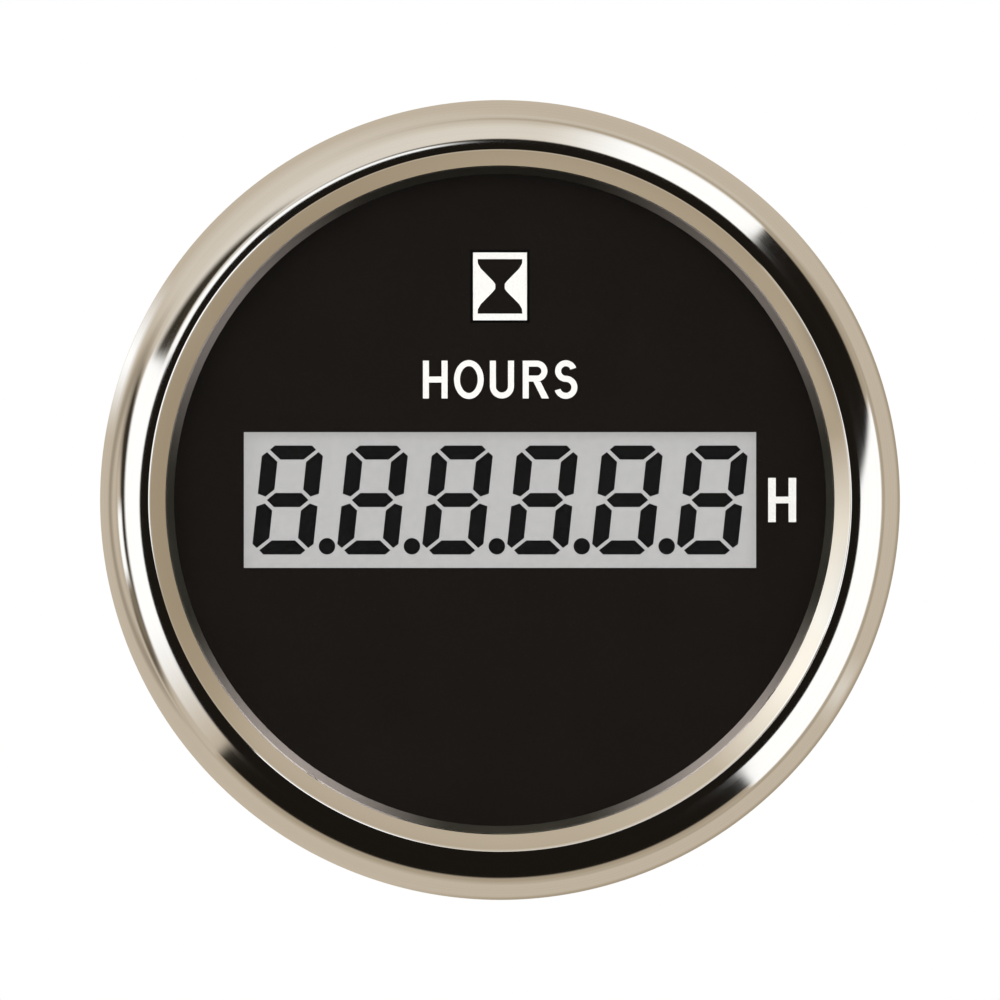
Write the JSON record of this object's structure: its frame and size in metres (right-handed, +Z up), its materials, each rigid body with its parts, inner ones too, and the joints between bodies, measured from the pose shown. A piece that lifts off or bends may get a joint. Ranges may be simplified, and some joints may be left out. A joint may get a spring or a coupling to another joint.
{
  "type": "hour meter",
  "caption": "Round panel hour meter with a polished bezel, flat lens, black dial and segment display, held in its panel hole by a strap clamp and thumb nuts.",
  "frame": {"origin": "centre of the gauge in the plane of the panel's front face, where the gasket seats", "axes": "+Y along the barrel away from the viewer, so the dial faces -Y; +Z up the dial; +X to the right as the dial is read"},
  "size_m": [0.06, 0.0584, 0.06],
  "materials": {
    "bezel": "polished stainless sheet",
    "lens": "clear flat lens",
    "lens_gasket": "thin black rubber",
    "dial_ring": "dark grey moulded plastic",
    "dial_plate": "satin black printed plate",
    "front_polarizer": "clear grey film",
    "front_glass": "thin display glass",
    "display_segments": "dark display segments",
    "cell_seal": "sealing line",
    "rear_glass": "thin display glass",
    "rear_polarizer": "grey backing film",
    "diffuser_film": "white film",
    "light_guide": "clear moulded guide",
    "reflector_film": "white film",
    "backlight_lamps": "small lamps",
    "display_holder": "black moulded frame",
    "upper_contact_strip": "layered contact rubber",
    "lower_contact_strip": "layered contact rubber",
    "circuit_board": "green solder mask",
    "board_screws": "zinc plated",
    "microcontroller": "black chip",
    "memory_chip": "black chip",
    "clock_crystal": "metal can",
    "voltage_regulator": "black chip",
    "smoothing_capacitor": "metal can",
    "input_diode": "black moulding",
    "surge_suppressor": "black moulding",
    "housing": "black moulded plastic",
    "panel_gasket": "black rubber",
    "stud_left": "zinc plated thread",
    "stud_right": "zinc plated thread",
    "supply_terminal": "plain brass blade",
    "ground_terminal": "plain brass blade",
    "light_terminal": "plain brass blade",
    "clamp_bracket": "zinc plated strap",
    "flat_washers": "zinc plated",
    "spring_washers": "spring steel",
    "thumb_nut_left": "grooved brass",
    "thumb_nut_right": "grooved brass"
  },
  "bodies": {
    "gauge": {"bezel": "bezel", "lens": "lens", "lens_gasket": "lens_gasket", "dial_ring": "dial_ring", "dial_plate": "dial_plate", "front_polarizer": "front_polarizer", "front_glass": "front_glass", "display_segments": "display_segments", "cell_seal": "cell_seal", "rear_glass": "rear_glass", "rear_polarizer": "rear_polarizer", "diffuser_film": "diffuser_film", "light_guide": "light_guide", "reflector_film": "reflector_film", "backlight_lamps": "backlight_lamps", "display_holder": "display_holder", "upper_contact_strip": "upper_contact_strip", "lower_contact_strip": "lower_contact_strip", "circuit_board": "circuit_board", "board_screws": "board_screws", "microcontroller": "microcontroller", "memory_chip": "memory_chip", "clock_crystal": "clock_crystal", "voltage_regulator": "voltage_regulator", "smoothing_capacitor": "smoothing_capacitor", "input_diode": "input_diode", "surge_suppressor": "surge_suppressor", "housing": "housing", "panel_gasket": "panel_gasket", "stud_left": "stud_left", "stud_right": "stud_right", "supply_terminal": "supply_terminal", "ground_terminal": "ground_terminal", "light_terminal": "light_terminal"},
    "clamp": {"clamp_bracket": "clamp_bracket", "flat_washers": "flat_washers", "spring_washers": "spring_washers"},
    "nut_left": {"thumb_nut_left": "thumb_nut_left"},
    "nut_right": {"thumb_nut_right": "thumb_nut_right"}
  },
  "joints": [
    {"name": "clamp_slide", "type": "slide", "parent": "gauge", "child": "clamp", "axis": [0, -1, 0], "range_m": [-0.006, 0.005]},
    {"name": "nut_left_turn", "type": "hinge", "parent": "clamp", "child": "nut_left", "pos_m": [-0.015, 0.04, 0], "axis": [0, -1, 0], "range_deg": [-3100, 2600]},
    {"name": "nut_right_turn", "type": "hinge", "parent": "clamp", "child": "nut_right", "pos_m": [0.015, 0.04, 0], "axis": [0, -1, 0], "range_deg": [-3100, 2600]}
  ],
  "couplings": [
    {"joint": "nut_left_turn", "follows": "clamp_slide", "rad_per_m": 8976},
    {"joint": "nut_right_turn", "follows": "clamp_slide", "rad_per_m": 8976}
  ]
}
